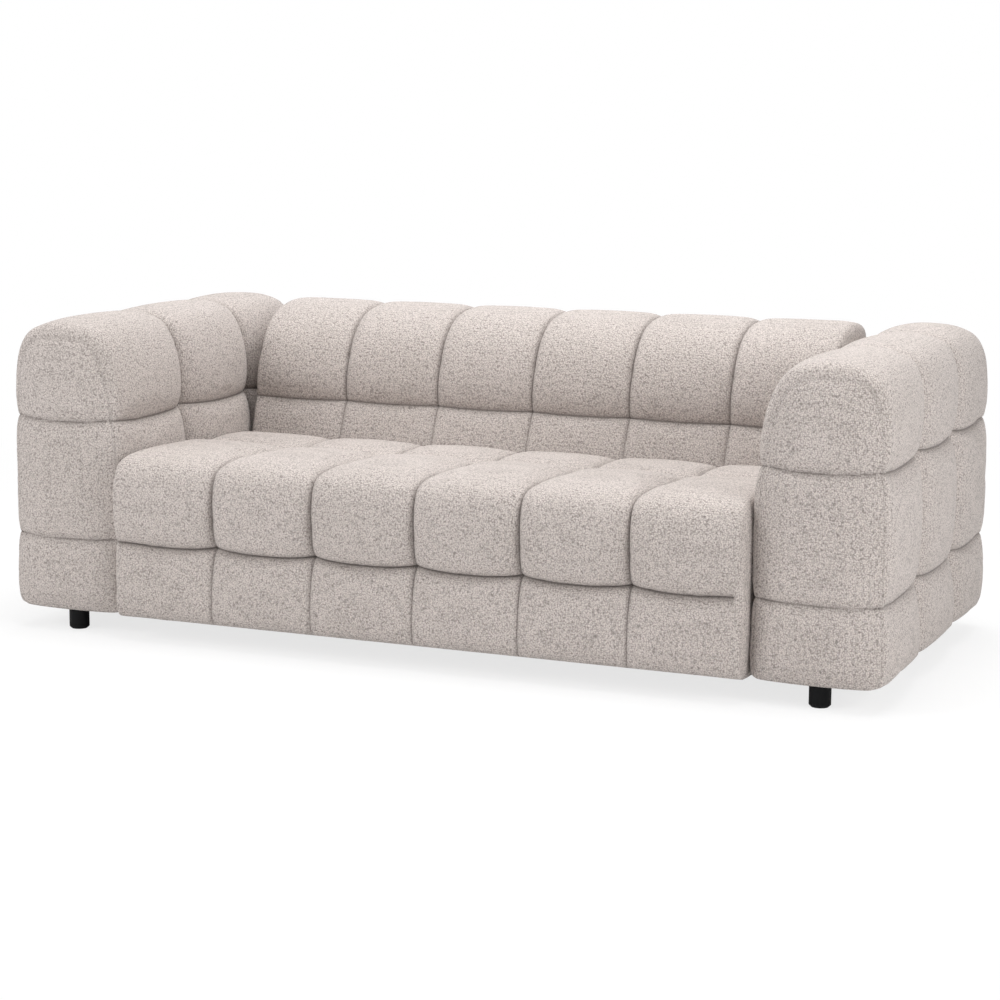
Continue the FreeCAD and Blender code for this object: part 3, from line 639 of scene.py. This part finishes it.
backBlock = {
    "lengthAxis": "X",
    "from": -0.798,
    "to": 0.798,
    "columnSeams": columnSeams,
    "columnSteps": (32,) * 6,
    "crown": 0.007,
    "faintBelow": 0.5,
    "stitchAt": 0.0,
    "rowsStop": 0.0,
    "outline": [
        (0.6460, 0.0646, 0.002, 0.040, 0.002, 0.030, 0.003),
        (0.6400, 0.090, 0.002, 0.040, 0.002, 0.030, 0.003),
        (0.6400, 0.300, 0.002, 0.040, 0.003, 0.030, 0.003),
        (0.6420, 0.400, 0.004, 0.030, 0.002, 0.020, 0.004),
        (0.6580, 0.470, 0.006, 0.032, 0.002, 0.020, 0.005),
        (0.6720, 0.526, 0.009, 0.036, 0.002, 0.030, 0.006),
        (0.6745, 0.585, 0.014, 0.042, 0.004, 0.045, 0.010),
        (0.6880, 0.640, 0.018, 0.048, 0.008, 0.060, 0.014),
        (0.7130, 0.694, 0.020, 0.052, 0.010, 0.070, 0.018),
        (0.7480, 0.732, 0.019, 0.052, 0.010, 0.075, 0.020),
        (0.7950, 0.756, 0.016, 0.048, 0.008, 0.075, 0.020),
        (0.8600, 0.768, 0.013, 0.044, 0.006, 0.070, 0.018),
        (0.9350, 0.769, 0.013, 0.044, 0.006, 0.060, 0.016),
        (0.9880, 0.752, 0.014, 0.048, 0.007, 0.055, 0.015),
        (1.0110, 0.712, 0.018, 0.052, 0.008, 0.050, 0.014),
        (1.0175, 0.640, 0.022, 0.055, 0.010, 0.050, 0.012),
        (1.0180, 0.538, 0.024, 0.055, 0.010, 0.050, 0.012),
        (1.0180, 0.400, 0.025, 0.055, 0.010, 0.050, 0.012),
        (1.0180, 0.242, 0.023, 0.055, 0.010, 0.050, 0.012),
        (1.0180, 0.090, 0.018, 0.050, 0.008, 0.050, 0.010),
        (1.0104, 0.0646, 0.008, 0.050, 0.006, 0.045, 0.004),
        (0.9850, 0.0575, 0.0, 0.045, 0.0, 0.045, 0.000),
        (0.6700, 0.0575, 0.0, 0.045, 0.0, 0.045, 0.000),
    ],
    "runs": [
        [(0, 3, 24, False, False), (3, 5, 14, False, True), (5, 10, 32, True, False)],
        [(10, 13, 22, False, False)],
        [(13, 16, 22, False, True), (16, 18, 28, True, True), (18, 20, 20, True, False)],
        [(20, 23, 22, False, False)],
    ],
    "rowSeams": [
        {"at": 5, "depth": 0.011, "reach": 0.034, "swell": 0.004, "tuck": 0.003, "sag": (0, -0.003)},
        {"at": 16, "depth": 0.013, "reach": 0.050, "swell": 0.010, "tuck": 0.006, "sag": (0, -0.007)},
        {"at": 18, "depth": 0.011, "reach": 0.045, "swell": 0.008, "tuck": 0.005, "sag": (0, -0.006)},
    ],
    "panel": plainPanel,
}

cover = boucleMaterial()


def dressed(piece, nodes):
    piece.data.materials.clear()
    piece.data.materials.append(cover)
    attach(piece, "root")
    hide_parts(*nodes)


seatPiece = paddedBlock("seat_upholstery", seatBlock)
backPiece = paddedBlock("back_upholstery", backBlock)
armRightPiece = paddedBlock("arm_right_upholstery", armBlock)
for piece in (seatPiece, backPiece, armRightPiece):
    puffed(piece)

armLeftMesh = armRightPiece.data.copy()
armLeftMesh.name = "arm_left_upholstery"
armLeftMesh.transform(Matrix.Scale(-1, 4, (1, 0, 0)))
armLeftMesh.flip_normals()
armLeftPiece = bpy.data.objects.new("arm_left_upholstery", armLeftMesh)
bpy.context.scene.collection.objects.link(armLeftPiece)

dressed(seatPiece, ["seat_cover", "seat_wadding", "seat_deck_foam", "seat_front_foam"])
dressed(backPiece, ["back_cover", "back_wadding", "back_foam"])
for side, piece in (("right", armRightPiece), ("left", armLeftPiece)):
    parts = ("cover", "front_panel", "rear_panel", "wadding", "foam")
    dressed(piece, [f"arm_{side}_{part}" for part in parts])


woods = {
    "timber": {
        "light": (0.66, 0.49, 0.31, 1),
        "dark": (0.47, 0.31, 0.17, 1),
        "rings": 9.0,
        "roughness": 0.7,
    },
    "plywood": {
        "light": (0.72, 0.57, 0.39, 1),
        "dark": (0.56, 0.41, 0.25, 1),
        "rings": 16.0,
        "roughness": 0.65,
    },
}
boards = {
    "fibreboard": {
        "light": (0.43, 0.30, 0.19, 1),
        "dark": (0.30, 0.20, 0.12, 1),
        "flecks": 420.0,
        "height": 0.0004,
    },
    "felt": {
        "light": (0.42, 0.41, 0.40, 1),
        "dark": (0.22, 0.21, 0.21, 1),
        "flecks": 260.0,
        "height": 0.0015,
    },
    "wadding": {
        "light": (0.88, 0.88, 0.87, 1),
        "dark": (0.76, 0.76, 0.75, 1),
        "flecks": 90.0,
        "height": 0.003,
    },
    "foam": {
        "light": (0.84, 0.78, 0.57, 1),
        "dark": (0.70, 0.63, 0.42, 1),
        "flecks": 500.0,
        "height": 0.0008,
    },
}
wovens = {
    "webbing": {
        "yarn": (0.15, 0.15, 0.155, 1),
        "gap": (0.045, 0.045, 0.045, 1),
        "threads": 330.0,
        "height": 0.0006,
    },
    "dust_cloth": {
        "yarn": (0.05, 0.05, 0.053, 1),
        "gap": (0.022, 0.022, 0.023, 1),
        "threads": 520.0,
        "height": 0.0003,
    },
}
metals = {
    "spring_steel": {"bright": (0.42, 0.42, 0.43, 1), "dull": (0.22, 0.215, 0.21, 1), "roughness": 0.42},
    "zinc_steel": {"bright": (0.68, 0.68, 0.66, 1), "dull": (0.52, 0.53, 0.53, 1), "roughness": 0.33},
}
plastics = {
    "foot_black": {"skin": (0.0045, 0.0045, 0.005, 1), "worn": (0.014, 0.014, 0.015, 1), "roughness": 0.5},
    "glide": {"skin": (0.045, 0.045, 0.046, 1), "worn": (0.09, 0.09, 0.088, 1), "roughness": 0.6},
}
rubbedHeight = 0.012  # the feet are worn up to this height above the floor


def woodMaterial(name, look):
    # growth rings stretched along the board, with fine pores
    sheet = Sheet(bpy.data.materials.new(name))
    place = sheet.place()
    sway = sheet.noise(sheet.stretched(place, (1.2, 1.2, 6.0)), 3.0)
    pores = sheet.noise(sheet.stretched(place, (18.0, 160.0, 160.0)), 3.0, detail=4.0)
    ringInputs = {
        "Vector": sheet.stretched(place, (0.6, 3.0, 4.0)),
        "Scale": look["rings"],
        "Distortion": 4.0,
        "Detail": 3.0,
    }
    ringSettings = {"wave_type": "RINGS", "rings_direction": "X"}
    rings = sheet.node("ShaderNodeTexWave", ringSettings, ringInputs, output="Fac")
    grain = (rings * 0.55 + sway * 0.3 + pores * 0.25).math("MINIMUM", 1.0)
    return sheet.finish({
        "Base Color": sheet.mix(grain, look["light"], look["dark"]),
        "Roughness": pores * 0.2 + (look["roughness"] - 0.1),
        "Specular IOR Level": 0.3,
        "Normal": sheet.bump(pores * 0.6 + rings * 0.2, 0.0006, 0.5),
    })


def boardMaterial(name, look):
    # pressed or matted fibres: flecks in two sizes
    sheet = Sheet(bpy.data.materials.new(name))
    place = sheet.place()
    flecks = sheet.noise(place, look["flecks"], detail=4.0, roughness=0.65)
    clouds = sheet.noise(place, look["flecks"] / 9, detail=2.0)
    share = (flecks * 1.5 + clouds * 0.6 - 0.55).held()
    return sheet.finish({
        "Base Color": sheet.mix(share, look["light"], look["dark"]),
        "Roughness": flecks * 0.15 + 0.8,
        "Specular IOR Level": 0.2,
        "Normal": sheet.bump(flecks + clouds * 0.5, look["height"], 0.7),
    })


def wovenMaterial(name, look):
    # warp and weft cross as two sets of waves, with loose fibres
    sheet = Sheet(bpy.data.materials.new(name))
    place = sheet.place()
    waves = []
    for direction in ("X", "Y"):
        settings = {"wave_type": "BANDS", "bands_direction": direction}
        inputs = {"Vector": place, "Scale": look["threads"] / 6.5, "Distortion": 0.4, "Detail Scale": 60.0}
        waves.append(sheet.node("ShaderNodeTexWave", settings, inputs, output="Fac"))
    lint = sheet.noise(place, 700.0)
    weave = waves[0] * 0.4 + waves[1] * 0.4 + lint * 0.3
    share = (1.15 - weave * 1.3).held()
    return sheet.finish({
        "Base Color": sheet.mix(share, look["yarn"], look["gap"]),
        "Roughness": lint * 0.15 + 0.75,
        "Specular IOR Level": 0.25,
        "Normal": sheet.bump(weave, look["height"], 0.8),
    })


def metalMaterial(name, look):
    # drawn steel: fine draw marks and patches of duller skin
    sheet = Sheet(bpy.data.materials.new(name))
    place = sheet.place()
    marks = sheet.noise(sheet.stretched(place, (900.0, 900.0, 60.0)), 1.0)
    patches = sheet.noise(place, 120.0, detail=4.0, roughness=0.7)
    dulled = (patches * 1.6 - 0.4).held()
    return sheet.finish({
        "Base Color": sheet.mix(dulled, look["bright"], look["dull"]),
        "Metallic": 1.0,
        "Roughness": marks * 0.15 + patches * 0.15 + (look["roughness"] - 0.15),
        "Normal": sheet.bump(marks, 0.0001, 0.4),
    })


def plasticMaterial(name, look):
    # moulded plastic with a fine spark texture, rubbed smoother and greyer near the floor
    sheet = Sheet(bpy.data.materials.new(name))
    place = sheet.place()
    spark = sheet.noise(place, 1400.0, detail=2.0)
    scuffs = sheet.noise(sheet.stretched(place, (140.0, 140.0, 30.0)), 1.0, detail=4.0)
    height = sheet.node("ShaderNodeSeparateXYZ", {}, [place], output="Z")
    low = (1 - height / rubbedHeight).held()
    rubbed = low * (scuffs * 2 - 0.6).held()
    return sheet.finish({
        "Base Color": sheet.mix(rubbed, look["skin"], look["worn"]),
        "Roughness": scuffs * 0.14 + (look["roughness"] - 0.07),
        "Specular IOR Level": 0.13,
        "Normal": sheet.bump(spark, 0.00012, 0.6),
    })


finishes = {}
for looks, maker in (
    (woods, woodMaterial),
    (boards, boardMaterial),
    (wovens, wovenMaterial),
    (metals, metalMaterial),
    (plastics, plasticMaterial),
):
    for name, look in looks.items():
        finishes[name] = maker(name + "_finish", look)
finishes["boucle"] = cover
unknown = set()
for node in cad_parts.values():
    for materialSlot in node.material_slots:
        known = materialSlot.material.name.split(".")[0]
        if known in finishes:
            materialSlot.material = finishes[known]
        elif not known.endswith("_finish"):
            unknown.add(known)
print("materials given to", len(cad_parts), "carried nodes; unknown:", sorted(unknown))

shot = {
    "place": (2.3675, -5.603, 1.3748),
    "yaw": 0.3998,
    "pitch": -0.1708,
    "roll": 0.0058,
    "focalPixels": 2457.0,
    "framePixels": 1000,
    "sensor": 36,
}


def photographView():
    camera = bpy.data.cameras.new("camera")
    holder = bpy.data.objects.new("camera", camera)
    bpy.context.scene.collection.objects.link(holder)
    cy, sy = math.cos(shot["yaw"]), math.sin(shot["yaw"])
    cp, sp = math.cos(shot["pitch"]), math.sin(shot["pitch"])
    forward = Vector((-sy * cp, cy * cp, sp))
    right = Vector((cy, sy, 0))
    up = right.cross(forward)
    cr, sr = math.cos(shot["roll"]), math.sin(shot["roll"])
    right, up = right * cr + up * sr, up * cr - right * sr
    turn = Matrix((right, up, -forward)).transposed()
    holder.matrix_world = Matrix.Translation(shot["place"]) @ turn.to_4x4()
    camera.sensor_width = shot["sensor"]
    camera.lens = shot["focalPixels"] / shot["framePixels"] * shot["sensor"]
    camera.clip_end = 100
    bpy.context.scene.camera = holder


def softBox(name, place, aim, size, watts):
    lamp = bpy.data.lights.new(name, "AREA")
    lamp.shape = "RECTANGLE"
    lamp.size, lamp.size_y = size
    lamp.energy = watts
    holder = bpy.data.objects.new(name, lamp)
    holder.location = place
    holder.rotation_euler = (Vector(aim) - Vector(place)).to_track_quat("-Z", "Y").to_euler()
    bpy.context.scene.collection.objects.link(holder)


studio = {
    "world": 0.31,
    "key": 112,
    "above": 198,
    "side": 38,
    "rear": 45,
    "paper": (0.9, 0.9, 0.9, 1),
    "paperGlow": 0.76,  # share of plain white that the camera sees under the sofa, where its shadow falls
    "shadowReach": 1.4,
    "shadowFade": 2.2,
}
photographView()
softBox("key", (-3.3, -3.7, 2.9), (-0.2, 0, 0.3), (2.6, 2.2), studio["key"])
softBox("above", (0.2, 0.2, 4.2), (0, 0, 0.4), (4.5, 3.5), studio["above"])
softBox("side", (3.3, -1.3, 1.5), (1.0, -0.1, 0.4), (1.2, 1.2), studio["side"])
softBox("rear", (-1.2, 4.6, 2.4), (0, 0, 0.4), (3.0, 2.0), studio["rear"])

world = bpy.data.worlds.new("studio")
bpy.context.scene.world = world
sky = Sheet(world, "ShaderNodeOutputWorld")
toCamera = sky.node("ShaderNodeLightPath", output="Is Camera Ray")
toGloss = sky.node("ShaderNodeLightPath", output="Is Glossy Ray")
skyInputs = {"Color": (0.98, 0.99, 1.0, 1), "Strength": studio["world"]}
lit = sky.node("ShaderNodeBackground", {}, skyInputs, output="Background")
whiteInputs = {"Color": (1, 1, 1, 1), "Strength": 1.0}
white = sky.node("ShaderNodeBackground", {}, whiteInputs, output="Background")
shown = toCamera.math("MAXIMUM", toGloss)
sky.surface(sky.node("ShaderNodeMixShader", {}, [shown, lit, white], output="Shader"))

floorShape = bmesh.new()
bmesh.ops.create_grid(floorShape, x_segments=1, y_segments=1, size=30.0)
floorMesh = bpy.data.meshes.new("floor")
floorShape.to_mesh(floorMesh)
floorShape.free()
floor = bpy.data.objects.new("floor", floorMesh)
bpy.context.scene.collection.objects.link(floor)
paperFloor = Sheet(bpy.data.materials.new("paperFloor"))
fromMiddle = [paperFloor.place()]
spread = paperFloor.node("ShaderNodeVectorMath", {"operation": "LENGTH"}, fromMiddle, output="Value")
paper = paperFloor.node("ShaderNodeBsdfDiffuse", {}, {"Color": studio["paper"]}, output="BSDF")
glow = paperFloor.node("ShaderNodeEmission", {}, {"Color": (1, 1, 1, 1)}, output="Emission")
direct = paperFloor.node("ShaderNodeLightPath", output="Is Camera Ray")
clear = ((spread - studio["shadowReach"]) / studio["shadowFade"]).held()
share = direct * (clear * (1 - studio["paperGlow"]) + studio["paperGlow"])
floorMesh.materials.append(
    paperFloor.surface(paperFloor.node("ShaderNodeMixShader", {}, [share, paper, glow], output="Shader"))
)
print("camera, lights and floor set")

bpy.context.scene.view_settings.view_transform = "Standard"
